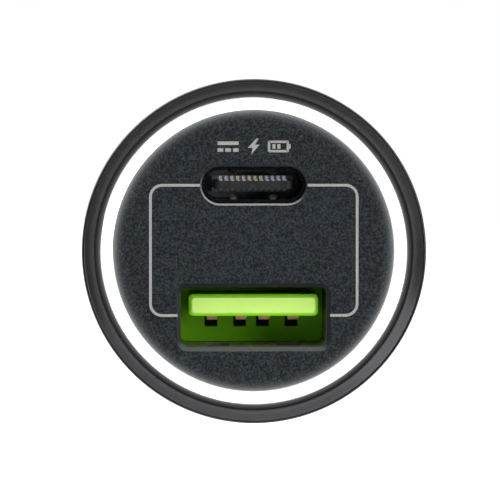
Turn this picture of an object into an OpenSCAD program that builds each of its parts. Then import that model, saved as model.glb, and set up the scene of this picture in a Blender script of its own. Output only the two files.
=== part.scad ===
// A 12 V car charger plug with a USB-C port, a USB-A port and a light ring round its face.
// Lengths are in millimetres. Each piece is drawn along the plug's axis: the shoulder is at height 0,
// the face is up and the nose is down. lay() then turns the plug so that the face looks along -Y,
// the nose points along +Y and the USB-C port is above the USB-A port.

/* [Head] */
// From the shoulder to the front of the face plate
head_depth = 20; // [17:0.5:26]
// Wall of the head round the light ring
head_wall = 1.55; // [1.3:0.05:2]
// Rear wall of the head, where the barrel comes out
rear_wall = 2; // [1.5:0.1:3]
// How much narrower the head is at the shoulder, in diameter
back_drop = 1.8; // [1:0.1:2.2]
// Radius of the corner at the shoulder
shoulder_round = 1.6; // [0.6:0.1:1.8]
// How far the rim stands out past the face plate
rim_h = 0.95; // [0.4:0.05:1.6]
// Radius on the outer edge of the rim
rim_round = 0.16; // [0.1:0.02:0.3]
// Flat ledge between the light ring and the sloping band
ledge_w = 0.32; // [0.2:0.02:0.5]
// Width of the groove at the foot of the sloping band
groove_w = 0.18; // [0.1:0.02:0.24]
// Depth of that groove
groove_h = 0.36; // [0.1:0.02:0.5]

/* [Face] */
// From the USB-A connector's lower corners to the edge of the face plate
plate_edge = 1.62; // [1.2:0.02:4]
// Width of the light ring as seen from the front
ring_w = 1.03; // [0.8:0.01:1.6]
// How far the light ring's crown stands out past the face plate
ring_crown = 0.22; // [0.1:0.02:0.5]
// Thickness of the face plate
plate_t = 1.6; // [1.3:0.1:2.2]
// Radius rolled on the edge of the face plate
plate_round = 0.5; // [0.3:0.05:0.9]
// Wall of the skirt behind the face plate
skirt_t = 0.9; // [0.7:0.1:1.3]
// From the face plate's front to the connectors' front edges
port_recess = 0.8; // [0.6:0.05:1.1]

/* [USB-A port] */
// Height of the USB-A port's centre above the axis
usb_a_y = -5.68; // [-5.9:0.02:-5]
// Inside width of the connector
usb_a_w = 12.5; // [12.4:0.05:12.6]
// Inside height of the connector
usb_a_h = 5.12; // [5:0.02:5.2]
// Sheet thickness of the connector's shell
usb_a_sheet = 0.3; // [0.25:0.05:0.35]
// Corner radius inside the connector
usb_a_corner = 0.6; // [0.4:0.05:0.8]
// Chamfer round the opening in the face plate
usb_a_chamfer = 0.35; // [0.15:0.01:0.4]
// Gap on each side of the insulating tongue
tongue_side = 0.7; // [0.6:0.02:0.8]
// Thickness of the insulating tongue
tongue_t = 1.84; // [1.7:0.02:1.95]
// Gap above the tongue
tongue_gap = 0.65; // [0.5:0.01:0.8]
// From the connector's front edge to the tongue's front
tongue_back = 0.3; // [0.2:0.05:0.8]
// Height of the insulator's block behind the tongue
usb_a_block = 2.5; // [2:0.1:3.5]
// Width of a USB-A contact
pin_w = 0.9; // [0.7:0.05:1.1]
// Thickness of a USB-A contact
pin_t = 0.22; // [0.15:0.01:0.3]
// How far a USB-A contact bows out of the tongue
pin_bow = 0.46; // [0.2:0.02:0.5]
// Distance between the two middle contacts
pin_pitch_in = 2; // [1.9:0.05:2.1]
// Distance from a middle contact to the next outer one
pin_pitch_out = 2.5; // [2.4:0.05:2.6]

/* [USB-C port] */
// Height of the USB-C port's centre above the axis
usb_c_y = 5.63; // [5:0.02:6.4]
// Inside width of the connector
usb_c_w = 8.34; // [8.3:0.02:8.4]
// Inside height of the connector
usb_c_h = 2.56; // [2.5:0.02:2.6]
// Sheet thickness of the connector's shell
usb_c_sheet = 0.25; // [0.2:0.05:0.3]
// Chamfer round the opening in the face plate
usb_c_edge = 0.15; // [0.08:0.01:0.25]
// Gap on each side of the tongue
tab_side = 0.82; // [0.78:0.01:0.86]
// Thickness of the tongue
tab_t = 0.7; // [0.6:0.02:0.8]
// From the connector's front edge to the tongue's front
tab_back = 0.75; // [0.5:0.05:1]
// Length of the thicker root of the tongue
tab_root = 1.4; // [1:0.1:2]
// Height of the insulator's block behind the tongue
usb_c_block = 4; // [3:0.1:5]
// Width of a USB-C contact
pad_w = 0.26; // [0.2:0.01:0.3]
// Thickness of a USB-C contact
pad_t = 0.06; // [0.04:0.01:0.08]
// From the tongue's front to the front of a USB-C contact
pad_back = 0.5; // [0.4:0.05:1]

/* [Boards] */
// Length of both connectors, from the port board to their front edges
conn_h = 10.6; // [9.5:0.1:12]
// Thickness of the round port board
port_board_t = 1.2; // [1:0.1:1.6]
// Thickness of the long main board
main_board_t = 1.2; // [1:0.1:1.6]
// Number of light-emitting diodes under the light ring
led_count = 8; // [6:1:12]
// Height of a diode
led_h = 0.55; // [0.4:0.05:0.8]
// Side of a power inductor
coil_w = 6.6; // [5.5:0.1:7.5]
// Height of a power inductor
coil_h = 3; // [2.4:0.1:4]
// Length of the input capacitor's can
input_cap_len = 11.5; // [9:0.5:13]
// Length of an output capacitor's can
output_cap_len = 6.8; // [5:0.1:8]
// Side of the charging controller
chip_w = 5; // [4:0.1:6]
// Thickness of the chips
chip_t = 0.9; // [0.7:0.05:1.2]
// Length of the fuse
fuse_len = 6.1; // [4.5:0.1:7]
// Side of the fuse
fuse_w = 2.6; // [2:0.1:3.2]

/* [Barrel] */
// Outside diameter of the barrel's land, which centres the plug in the socket's mouth
barrel_d = 20.8; // [20.7:0.05:20.9]
// Length of that land, from the shoulder
land_len = 7; // [5:0.5:9]
// How much narrower the barrel is past the land, on the radius
barrel_relief = 0.15; // [0.1:0.05:0.25]
// Length of the straight part of the barrel
barrel_len = 33; // [30:0.5:38]
// Wall of the barrel
barrel_wall = 1.05; // [0.9:0.05:1.4]
// Step that centres the barrel in the head's rear wall
collar_step = 0.2; // [0.1:0.05:0.4]
// Thickness of the barrel's flange inside the head
flange_t = 1.6; // [1.2:0.1:2]
// Wall of the barrel's cup inside the head
cup_wall = 1.5; // [1.2:0.1:2]
// Length of the cone at the end of the barrel
cone_len = 3; // [2:0.1:4]
// Step from the cone's end down to the nose ring
cone_step = 0.3; // [0.1:0.05:0.6]
// Length of the neck that carries the nose ring
neck_len = 3.6; // [3:0.1:4.5]
// Wall of the neck
neck_wall = 1.8; // [1.4:0.1:2.4]

/* [Nose] */
// Diameter of the tip contact
tip_d = 6.8; // [6:0.1:7.4]
// How far the tip contact stands out of the nose ring
tip_out = 5; // [4:0.1:6]
// How far the tip contact is pressed in
tip_travel = 2.5; // [1.5:0.1:3]
// Width of the flange that holds the tip contact in
tip_flange_w = 1.2; // [0.8:0.1:1.6]
// Thickness of that flange
tip_flange_t = 1.1; // [0.8:0.1:1.5]
// Length of the stub that centres the spring
tip_stub = 3.4; // [2:0.1:4]
// Diameter of that stub
tip_stub_d = 4.2; // [3:0.1:5]
// Wall of the nose ring
nose_wall = 1.15; // [0.9:0.05:1.6]
// Front wall of the nose ring
nose_front = 1.3; // [1:0.1:2]
// Number of grip flutes round the nose ring
flutes = 20; // [12:1:28]
// Radius of a grip flute
flute_r = 0.45; // [0.3:0.05:0.6]
// Wire of the tip spring
wire_d = 0.6; // [0.4:0.05:0.8]
// Turns of the tip spring
spring_turns = 6.5; // [5:0.5:7]
// Thickness of the spring plate on the end of the main board
seat_t = 0.8; // [0.6:0.1:1.2]

/* [Side contacts] */
// Width of a side contact
leaf_w = 4.4; // [3.6:0.1:5]
// Thickness of a side contact
leaf_t = 0.4; // [0.3:0.05:0.5]
// How far a side contact stands out of the barrel
leaf_out = 1.1; // [0.8:0.05:1.3]
// From the straight barrel's end back to the side contact's pivot
leaf_end = 3.8; // [3:0.1:5]
// From the pivot to the top of the bow
leaf_bow = 11.7; // [10:0.1:13]
// From the pivot to the bend where the tail begins
leaf_len = 15.9; // [15:0.1:17]
// Length of the tail that lies under the barrel's wall
leaf_tail = 1; // [0.6:0.1:1.4]
// Outside radius of the bow
bow_r = 4.5; // [3.5:0.1:5.5]
// Outside radius of the curl at the pivot
curl_r = 0.7; // [0.6:0.05:0.9]
// Travel of a side contact, in degrees
leaf_travel = 6.5; // [5:0.1:7]

/* [Gaps] */
// Gap between pieces that are pressed, glued or soldered together
fit_gap = 0.05; // [0.03:0.01:0.08]
// Gap round pieces that slide
slide_gap = 0.1; // [0.05:0.01:0.1]
// Gap round pieces that swing
swing_gap = 0.3; // [0.2:0.05:0.4]

/* [Hidden] */
round_fn = 96;
small_fn = 32;

// the head is wide enough for the ports and the ring, and for the shoulder round the barrel
shoulder_min = 1;
usb_a_reach = port_reach(usb_a_w, usb_a_h, usb_a_sheet, usb_a_corner, usb_a_y);
usb_c_reach = port_reach(usb_c_w, usb_c_h, usb_c_sheet, usb_c_h / 2, usb_c_y);
face_need = max(usb_a_reach, usb_c_reach) + plate_edge + ring_w + 2 * fit_gap + head_wall;
back_need = barrel_d / 2 + collar_step + fit_gap + shoulder_min + shoulder_round + back_drop / 2;
head_r = max(face_need, back_need);

// radii and heights of the head and of what it holds
bore_r = head_r - head_wall;
ring_r = bore_r - fit_gap;
ring_in = ring_r - ring_w;
plate_r = ring_in - fit_gap;
skirt_in = plate_r - skirt_t;
face_z = head_depth;
port_z = face_z - port_recess;
board_top = port_z - conn_h;
board_bot = board_top - port_board_t;

// the barrel, its neck and the nose
barrel_r = barrel_d / 2;
body_r = barrel_r - barrel_relief;
barrel_in = body_r - barrel_wall;
collar_r = barrel_r + collar_step;
tip_r = tip_d / 2;
tip_flange_r = tip_r + tip_flange_w;
spring_bore = tip_flange_r + swing_gap;
neck_r = spring_bore + neck_wall;
nose_r = neck_r + fit_gap + nose_wall;
cone_end_r = nose_r + cone_step;
cone_z = -barrel_len - cone_len;
neck_z = cone_z - neck_len;
flange_z = neck_z - fit_gap;
nose_z = flange_z - fit_gap - nose_front;
tip_back_z = flange_z + tip_flange_t;

// the spring plate, and the end of the main board that carries it
bulkhead_t = 1.6;
bulkhead_z = -barrel_len + bulkhead_t;
seat_z = bulkhead_z + seat_t + fit_gap * 4;
board_end = seat_z + fit_gap;
seat_r = spring_bore - swing_gap - 0.2;
coil_r = (spring_bore + tip_stub_d / 2) / 2 - 0.5;

// the side contact's pivot, bow and free end; v is measured from the axis and u along it
under_wall = sqrt(barrel_in * barrel_in - leaf_w * leaf_w / 4);
pivot_u = -barrel_len + leaf_end;
pivot_v = under_wall - curl_r - swing_gap;
bow_u = pivot_u + leaf_bow;
bow_v = barrel_r + leaf_out - bow_r;
end_u = pivot_u + leaf_len;
end_v = under_wall - leaf_t / 2 - slide_gap;
tip_round = leaf_t / 2;
ramp_d = norm([bow_u - pivot_u, bow_v - pivot_v]);
ramp_a = atan2(bow_v - pivot_v, bow_u - pivot_u) + asin((bow_r - curl_r) / ramp_d);
fall_d = norm([end_u - bow_u, bow_v - end_v]);
fall_a = atan2(bow_v - end_v, end_u - bow_u) + asin((bow_r - tip_round) / fall_d);
slot_rise = swing_gap - slide_gap + curl_r * (1 - cos(ramp_a));
slot_start = pivot_u - curl_r * sin(ramp_a) + slot_rise / tan(ramp_a);
slot_end = end_u + tip_round * (sin(fall_a) - (1 - cos(fall_a)) / tan(fall_a)) + slide_gap;
tail_u = end_u + leaf_tail;
press_v = end_v - (tail_u - pivot_u) * sin(leaf_travel) - tip_round;

// half widths of the main board: in the barrel, beside the side contacts, and at the pivots
board_half = barrel_in - 3 * fit_gap;
notch_half = press_v - swing_gap;
board_end_half = pivot_v - curl_r - fit_gap;
notch_start = pivot_u + curl_r + swing_gap;
notch_end = tail_u + tip_round + swing_gap;

// cans of the capacitors fill the room under the main board
input_cap_r = (barrel_in - main_board_t / 2 - 6 * fit_gap) / 2;
output_cap_r = 0.4 * barrel_in - 0.55;
leg_len = 3;
seat_leg_w = 2.4;
tab_x = 5.2;
tab_board_w = 3;
parts_start = board_bot - 0.6;
parts_end = board_end + leg_len + 0.4;
top_sizes = [chip_w, coil_w, coil_w, fuse_len];
under_sizes = [output_cap_len, input_cap_len, chip_w];
lead_w = 1.4;

// finger springs of the USB-A connector
finger_x = 3.05;
finger_w = 1.5;
finger_len = 5.2;
finger_slit = 0.25;
finger_bend = 4.5;

// widths of the tongues, and the distance from one USB-C contact to the next
tongue_w = usb_a_w - 2 * tongue_side;
tab_w = usb_c_w - 2 * tab_side;
pad_count = 12;
pad_side = 0.46;
root_step = 0.35;
pad_pitch = (tab_w - 2 * pad_side - pad_w) / (pad_count - 1);

// contact places across the USB-A tongue
pin_x = [
  -pin_pitch_in / 2 - pin_pitch_out, -pin_pitch_in / 2,
  pin_pitch_in / 2, pin_pitch_in / 2 + pin_pitch_out
];
tongue_y = usb_a_y + usb_a_h / 2 - tongue_gap - tongue_t / 2;
tongue_z = port_z - tongue_back;
block_z = board_top + usb_a_block;
under_y = tongue_y - tongue_t / 2;
tab_z = port_z - tab_back;
usb_c_block_z = board_top + usb_c_block;

// distance from the axis to the far corners of a connector's shell
function port_reach(w, h, sheet_t, corner, y) =
  norm([w / 2 - corner, abs(y) + h / 2 - corner]) + corner + sheet_t;

function sum_to(list, n) = n == 0 ? 0 : list[n - 1] + sum_to(list, n - 1);

// height of the centre of piece i when the pieces share the board's free length evenly
function spread(list, i) =
  let (free = (parts_start - parts_end - sum_to(list, len(list))) / (len(list) + 1))
  parts_start - free * (i + 1) - sum_to(list, i) - list[i] / 2;

// points of an arc from angle a to angle b, in n steps
function arc(x, y, r, a, b, n) =
  [for (i = [0:n]) [x + r * cos(a + (b - a) * i / n), y + r * sin(a + (b - a) * i / n)]];

module lay() {
  rotate([90, 0, 0]) children();
}

// a flat shape drawn in x and the plug's height becomes a sheet of thickness t, centred on y = 0
module sheet(t) {
  rotate([90, 0, 0]) linear_extrude(height = t, center = true) children();
}

module rounded(w, h, r) {
  square([w - 2 * r, h], center = true);
  square([w, h - 2 * r], center = true);
  for (x = [-1, 1]) {
    for (y = [-1, 1]) {
      translate([x * (w / 2 - r), y * (h / 2 - r)]) circle(r = r, $fn = small_fn);
    }
  }
}

module stadium(w, h) {
  square([w - h, h], center = true);
  for (x = [-1, 1]) {
    translate([x * (w - h) / 2, 0]) circle(r = h / 2, $fn = small_fn);
  }
}

// the head, turned in one piece: a side that curves in to the shoulder, a sloping front band and a groove
module head_section() {
  drop = back_drop / 2;
  back_len = face_z;
  side_r = (back_len * back_len + drop * drop) / (2 * drop);
  side_x = head_r - side_r;
  reach = side_r - shoulder_round;
  rise = back_len - shoulder_round;
  corner_x = side_x + sqrt(reach * reach - rise * rise);
  corner_a = -asin(rise / reach);
  front_z = face_z + rim_h;
  groove_in = bore_r + ledge_w;
  polygon(concat(
    [[collar_r + fit_gap, 0]],
    arc(corner_x, shoulder_round, shoulder_round, -90, corner_a, 10),
    arc(side_x, back_len, side_r, corner_a, 0, 12),
    arc(head_r - rim_round, front_z - rim_round, rim_round, 0, 130, 8),
    [
      [groove_in + groove_w, face_z + 0.04],
      [groove_in + groove_w, face_z - groove_h],
      [groove_in, face_z - groove_h],
      [groove_in, face_z],
      [bore_r, face_z],
      [bore_r, rear_wall],
      [collar_r + fit_gap, rear_wall]
    ]
  ));
}

module head_shell() {
  color("dimgray") lay() rotate_extrude($fn = round_fn) head_section();
}

// the barrel: a cup and flange in the head, the straight barrel, the cone and the neck
module barrel_section() {
  cup_r = bore_r - fit_gap;
  cup_top = board_bot - fit_gap;
  floor_z = rear_wall + fit_gap;
  bevel = 0.4;
  polygon([
    [cup_r, cup_top],
    [cup_r, floor_z],
    [collar_r, floor_z],
    [collar_r, 0],
    [barrel_r, 0],
    [barrel_r, -land_len],
    [body_r, -land_len - barrel_relief],
    [body_r, -barrel_len],
    [cone_end_r + bevel, cone_z + bevel],
    [cone_end_r, cone_z],
    [neck_r, cone_z],
    [neck_r, neck_z],
    [spring_bore, neck_z],
    [spring_bore, bulkhead_z],
    [barrel_in, bulkhead_z],
    [barrel_in, floor_z + flange_t],
    [cup_r - cup_wall, floor_z + flange_t],
    [cup_r - cup_wall, cup_top]
  ]);
}

module barrel_shell() {
  slot_w = leaf_w + 2 * swing_gap;
  color("darkslategray") lay() difference() {
    // the turned outline starts at an angle that keeps its seam out of the slots
    rotate([0, 0, 52.5]) rotate_extrude($fn = round_fn) barrel_section();
    for (side = [0, 1]) {
      mirror([side, 0, 0]) translate([barrel_in - 1.5, -slot_w / 2, slot_start]) {
        cube([barrel_wall + 3, slot_w, slot_end - slot_start]);
      }
    }
  }
}

// cuts an opening through the face plate, with a chamfer at the front and a pocket behind
module port_cut(chamfer, sheet_t) {
  translate([0, 0, face_z - plate_t - 1]) linear_extrude(height = plate_t + 2) children(0);
  translate([0, 0, face_z - plate_t - 1]) linear_extrude(height = plate_t - port_recess + 1) children(1);
  hull() {
    translate([0, 0, face_z - chamfer]) linear_extrude(height = 0.01) children(0);
    translate([0, 0, face_z]) linear_extrude(height = 0.2) children(2);
  }
}

// cuts an opening as wide as the connector's shell, with a chamfer at the front
module straight_cut(w, h, edge) {
  translate([0, 0, face_z - plate_t - 1]) linear_extrude(height = plate_t + 2) stadium(w, h);
  hull() {
    translate([0, 0, face_z - edge]) linear_extrude(height = 0.01) stadium(w, h);
    translate([0, 0, face_z]) linear_extrude(height = 0.2) stadium(w + 2 * edge, h + 2 * edge);
  }
}

module face_plate() {
  a_out = usb_a_sheet + fit_gap;
  c_out = usb_c_sheet + fit_gap;
  color("slategray") lay() difference() {
    rotate_extrude($fn = round_fn) {
      translate([0, face_z - plate_t]) square([plate_r, plate_t - plate_round]);
      translate([0, face_z - plate_round]) square([plate_r - plate_round, plate_round]);
      intersection() {
        translate([plate_r - plate_round, face_z - plate_round]) circle(r = plate_round, $fn = small_fn);
        translate([plate_r - plate_round, face_z - plate_round]) square([plate_round, plate_round]);
      }
      translate([skirt_in, board_top + fit_gap]) {
        square([skirt_t, face_z - plate_t - board_top - fit_gap]);
      }
    }
    translate([0, usb_a_y, 0]) port_cut(usb_a_chamfer) {
      rounded(usb_a_w, usb_a_h, usb_a_corner);
      rounded(usb_a_w + 2 * a_out, usb_a_h + 2 * a_out, usb_a_corner + a_out);
      rounded(usb_a_w + 2 * usb_a_chamfer, usb_a_h + 2 * usb_a_chamfer, usb_a_corner + usb_a_chamfer);
    }
    translate([0, usb_c_y, 0]) straight_cut(usb_c_w + 2 * c_out, usb_c_h + 2 * c_out, usb_c_edge);
    // room for the USB-A connector's lower corners beside the skirt
    translate([0, usb_a_y, board_top]) linear_extrude(height = conn_h) {
      rounded(usb_a_w + 2 * a_out, usb_a_h + 2 * a_out, usb_a_corner + a_out);
    }
  }
}

// the light ring is one clear moulding: a crowned front and a thin wall that reaches the diodes
module light_ring() {
  crown_r = (ring_w * ring_w / 4 + ring_crown * ring_crown) / (2 * ring_crown);
  mid_r = ring_r - ring_w / 2;
  back_z = board_top + led_h + 2 * slide_gap;
  color("white") lay() rotate_extrude($fn = round_fn) {
    translate([ring_in, back_z]) square([ring_w, face_z - back_z]);
    intersection() {
      translate([mid_r, face_z + ring_crown - crown_r]) circle(r = crown_r, $fn = round_fn);
      translate([ring_in, face_z - ring_crown]) square([ring_w, 3 * ring_crown]);
    }
  }
}

module leds() {
  led_w = 1.6;
  led_d = 0.8;
  color("khaki") lay() {
    for (i = [0:led_count - 1]) {
      rotate([0, 0, (i + 0.5) * 360 / led_count]) {
        translate([ring_r - ring_w / 2 - led_d / 2, -led_w / 2, board_top]) cube([led_d, led_w, led_h]);
      }
    }
  }
}

// solder legs of a connector's shell: w is the outside width, h the outside height
module legs(w, h, t, leg_w, clearance) {
  for (x = [-1, 1]) {
    for (y = [-1, 1]) {
      translate([x * (w - t) / 2, y * (h / 2 - leg_w), 0]) {
        cube([t + 2 * clearance, leg_w + 2 * clearance, 2 * port_board_t], center = true);
      }
    }
  }
}

module usb_a_legs(clearance) {
  translate([0, usb_a_y, board_top]) {
    legs(usb_a_w + 2 * usb_a_sheet, usb_a_h + 2 * usb_a_sheet, usb_a_sheet, 1.4, clearance);
  }
}

module usb_c_legs(clearance) {
  translate([0, usb_c_y, board_top]) {
    legs(usb_c_w + 2 * usb_c_sheet, usb_c_h + 2 * usb_c_sheet, usb_c_sheet, 0.8, clearance);
  }
}

module pin_tails(clearance) {
  for (x = pin_x) {
    translate([x, under_y + pin_t / 2, board_top]) {
      cube([pin_w + 2 * clearance, pin_t + 2 * clearance, 2 * port_board_t + 1.4], center = true);
    }
  }
}

module port_board() {
  key_r = 0.8;
  color("darkgreen") lay() difference() {
    translate([0, 0, board_bot]) cylinder(r = bore_r - 2 * fit_gap, h = port_board_t, $fn = round_fn);
    usb_a_legs(2 * fit_gap);
    usb_c_legs(2 * fit_gap);
    pin_tails(2 * fit_gap);
    for (x = [-tab_x, tab_x]) {
      translate([x, 0, board_bot]) {
        cube([tab_board_w + 4 * fit_gap, main_board_t + 2 * fit_gap, 3 * port_board_t], center = true);
      }
    }
    for (a = [90, 270]) {
      rotate([0, 0, a]) translate([bore_r, 0, board_bot - 1]) {
        cylinder(r = key_r, h = port_board_t + 2, $fn = small_fn);
      }
    }
  }
}

// four finger springs are cut in the long walls of the USB-A shell and bent inwards
module usb_a_shell() {
  out_w = usb_a_w + 2 * usb_a_sheet;
  out_h = usb_a_h + 2 * usb_a_sheet;
  root_z = port_z - 1.6;
  color("silver") lay() {
    translate([0, usb_a_y, 0]) {
      difference() {
        translate([0, 0, board_top + fit_gap]) linear_extrude(height = conn_h - fit_gap) difference() {
          rounded(out_w, out_h, usb_a_corner + usb_a_sheet);
          rounded(usb_a_w, usb_a_h, usb_a_corner);
        }
        for (x = [-finger_x, finger_x]) {
          for (y = [-1, 1]) {
            translate([x, y * usb_a_h / 2, root_z - finger_len / 2 - finger_slit]) {
              cube([finger_w + 2 * finger_slit, 3 * usb_a_sheet, finger_len + 2 * finger_slit], center = true);
            }
          }
        }
      }
      for (x = [-finger_x, finger_x]) {
        for (y = [0, 1]) {
          mirror([0, y, 0]) translate([x - finger_w / 2, -usb_a_h / 2 - usb_a_sheet, root_z + 0.2]) {
            rotate([180 - finger_bend, 0, 0]) translate([0, -usb_a_sheet, 0]) {
              cube([finger_w, usb_a_sheet, finger_len]);
            }
          }
        }
      }
    }
    difference() {
      usb_a_legs(0);
      translate([0, usb_a_y, board_top + fit_gap]) linear_extrude(height = 2 * port_board_t) {
        square([2 * out_w, 2 * out_h], center = true);
      }
    }
  }
}

module usb_a_tongue() {
  groove_w_a = pin_w + 0.24;
  block_w = usb_a_w - 2 * fit_gap;
  block_h = usb_a_h - 2 * fit_gap;
  nib = 0.3;
  color("yellowgreen") lay() difference() {
    union() {
      translate([0, usb_a_y, board_top + fit_gap]) linear_extrude(height = usb_a_block - fit_gap) {
        rounded(block_w, block_h, usb_a_corner - fit_gap);
      }
      translate([0, tongue_y, board_top + fit_gap]) {
        linear_extrude(height = tongue_z - board_top - fit_gap - nib) rounded(tongue_w, tongue_t, 0.4);
      }
      hull() {
        translate([0, tongue_y, tongue_z - nib - 0.01]) linear_extrude(height = 0.01) {
          rounded(tongue_w, tongue_t, 0.4);
        }
        translate([0, tongue_y, tongue_z - 0.02]) linear_extrude(height = 0.02) {
          rounded(tongue_w - 2 * nib, tongue_t - 2 * nib, 0.25);
        }
      }
    }
    // each contact has a slot through the block and a groove in the tongue's underside
    for (x = pin_x) {
      translate([x - groove_w_a / 2, under_y - 1.3, board_top - 1]) {
        cube([groove_w_a, 1.3 + pin_t + fit_gap, usb_a_block + 2]);
      }
      translate([x - groove_w_a / 2, under_y - 1, block_z - 1]) {
        cube([groove_w_a, 1 + pin_t + fit_gap, tongue_z - block_z - 0.2]);
      }
    }
  }
}

// a contact seen from the side: straight in the block, then bowed out of the tongue's groove
module pin_side() {
  span = tongue_z - block_z - 1.4;
  line = [
    [board_top - port_board_t - 0.7, 0],
    [block_z + 0.3, 0],
    [block_z + 0.6 * span, -pin_bow],
    [block_z + 0.72 * span, -pin_bow],
    [block_z + span, 0]
  ];
  polygon(concat(line, [for (i = [4:-1:0]) [line[i][0], line[i][1] + pin_t]]));
}

module usb_a_contacts() {
  color("gold") lay() {
    for (x = pin_x) {
      translate([x, under_y, 0]) rotate([0, -90, 0]) linear_extrude(height = pin_w, center = true) {
        pin_side();
      }
    }
  }
}

module usb_c_shell() {
  dimple_r = 0.5;
  dimple_h = 0.42;
  dimple_root = usb_c_sheet / 2;
  color("silver") lay() {
    translate([0, usb_c_y, 0]) {
      translate([0, 0, board_top + fit_gap]) linear_extrude(height = conn_h - fit_gap) difference() {
        stadium(usb_c_w + 2 * usb_c_sheet, usb_c_h + 2 * usb_c_sheet);
        stadium(usb_c_w, usb_c_h);
      }
      // dimples that touch the plug's shell
      for (x = [-1.74, 1.74]) {
        for (y = [-1, 1]) {
          intersection() {
            translate([x, y * (usb_c_h / 2 - dimple_h + dimple_r), port_z - 2.2]) {
              sphere(r = dimple_r, $fn = small_fn);
            }
            translate([x, y * (usb_c_h / 2 - (dimple_h + 0.1 - dimple_root) / 2), port_z - 2.2]) {
              cube([2 * dimple_r, dimple_h + 0.1 + dimple_root, 2 * dimple_r], center = true);
            }
          }
        }
      }
    }
    difference() {
      usb_c_legs(0);
      translate([0, usb_c_y, board_top + fit_gap]) linear_extrude(height = 2 * port_board_t) {
        square([2 * usb_c_w, 4 * usb_c_h], center = true);
      }
    }
  }
}

module usb_c_tongue() {
  corner = 0.5;
  root_h = tab_t + 2 * root_step;
  color("black") lay() translate([0, usb_c_y, 0]) {
    translate([0, 0, board_top + fit_gap]) linear_extrude(height = usb_c_block - fit_gap) {
      stadium(usb_c_w - 2 * fit_gap, usb_c_h - 2 * fit_gap);
    }
    translate([0, 0, usb_c_block_z + tab_root / 2]) {
      cube([tab_w + 0.3, root_h, tab_root], center = true);
    }
    sheet(tab_t) {
      translate([-tab_w / 2, usb_c_block_z]) square([tab_w, tab_z - usb_c_block_z - corner]);
      translate([-tab_w / 2 + corner, tab_z - corner]) square([tab_w - 2 * corner, corner]);
      for (x = [-1, 1]) {
        translate([x * (tab_w / 2 - corner), tab_z - corner]) circle(r = corner, $fn = small_fn);
      }
    }
  }
}

// each contact lies on the tongue and climbs the front of its thicker root
module usb_c_contacts() {
  root_z = usb_c_block_z + tab_root + 0.02;
  color("gold") lay() translate([0, usb_c_y, 0]) {
    for (i = [0:pad_count - 1]) {
      for (y = [0, 1]) {
        mirror([0, y, 0]) translate([(i - (pad_count - 1) / 2) * pad_pitch - pad_w / 2, tab_t / 2, root_z]) {
          cube([pad_w, pad_t, tab_z - pad_back - root_z]);
          cube([pad_w, root_step - 0.02, pad_t]);
        }
      }
    }
  }
}

// the long board, with notches where the side contacts swing in and tabs that enter the port board
module main_board() {
  front = board_bot - fit_gap;
  color("darkgreen") lay() sheet(main_board_t) difference() {
    union() {
      translate([-board_half, notch_end]) square([2 * board_half, front - notch_end]);
      translate([-notch_half, notch_start - 1]) square([2 * notch_half, notch_end - notch_start + 2]);
      translate([-board_end_half, board_end]) square([2 * board_end_half, notch_start - board_end]);
      for (x = [-tab_x, tab_x]) {
        translate([x - tab_board_w / 2, front - 1]) square([tab_board_w, port_board_t + 1]);
      }
    }
    // mounting hole near the front
    translate([0, front - 2]) circle(r = 0.6, $fn = small_fn);
  }
}

// two shielded inductors stand on the main board: a square base, a round core and a flat top
module inductors() {
  color("dimgray") lay() {
    for (i = [1, 2]) {
      translate([0, main_board_t / 2 + fit_gap, spread(top_sizes, i)]) rotate([-90, 0, 0]) {
        linear_extrude(height = coil_h * 0.2) rounded(coil_w, coil_w, 0.8);
        cylinder(r = coil_w / 2 - 0.4, h = coil_h, $fn = small_fn);
        translate([0, 0, coil_h * 0.75]) linear_extrude(height = coil_h * 0.25) {
          rounded(coil_w - 0.4, coil_w - 0.4, 1.6);
        }
      }
    }
  }
}

module chip(w, l) {
  translate([0, 0, chip_t / 2 + 0.05]) cube([w, l, chip_t - 0.1], center = true);
  for (x = [-1, 1]) {
    for (i = [-1.5:1:1.5]) {
      translate([x * (w / 2), i * l / 5, 0.12]) cube([0.7, 0.45, 0.24], center = true);
    }
  }
}

// the controller on top of the board, and two switching transistors under it
module power_chips() {
  fet_w = chip_w * 0.86;
  color("black") lay() {
    translate([0, main_board_t / 2 + fit_gap, spread(top_sizes, 0)]) {
      rotate([-90, 0, 0]) chip(chip_w, chip_w);
    }
    for (x = [-1, 1]) {
      translate([x * (fet_w / 2 + 0.5), -main_board_t / 2 - fit_gap, spread(under_sizes, 2)]) {
        rotate([90, 0, 0]) chip(fet_w - 0.2, chip_w);
      }
    }
  }
}

// a capacitor lying on the board: a crimped can whose two leads turn up to the board
module can(r, l, gap) {
  lead_r = 0.3;
  translate([0, 0, -l / 2]) rotate_extrude($fn = 64) polygon([
    [0, 0], [r - 0.3, 0], [r, 0.3], [r, l * 0.14], [r - 0.35, l * 0.18], [r - 0.35, l * 0.21],
    [r, l * 0.25], [r, l - 0.3], [r - 0.3, l], [0, l]
  ]);
  for (x = [-lead_w, lead_w]) {
    translate([x, 0, -l / 2 - 0.6]) cylinder(r = lead_r, h = 0.8, $fn = small_fn);
    translate([x, 0, -l / 2 - 0.6]) sphere(r = lead_r, $fn = small_fn);
    translate([x, 0, -l / 2 - 0.6]) rotate([-90, 0, 0]) cylinder(r = lead_r, h = r + gap, $fn = small_fn);
  }
}

module input_capacitor() {
  color("lightslategray") lay() {
    translate([0, -main_board_t / 2 - 2 * fit_gap - input_cap_r, spread(under_sizes, 1)]) {
      can(input_cap_r, input_cap_len, fit_gap);
    }
  }
}

module output_capacitors() {
  color("lightsteelblue") lay() {
    for (x = [-1, 1]) {
      translate([x * (output_cap_r + fit_gap), -main_board_t / 2 - 2 * fit_gap - output_cap_r, spread(under_sizes, 0)]) {
        can(output_cap_r, output_cap_len, fit_gap);
      }
    }
  }
}

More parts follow.
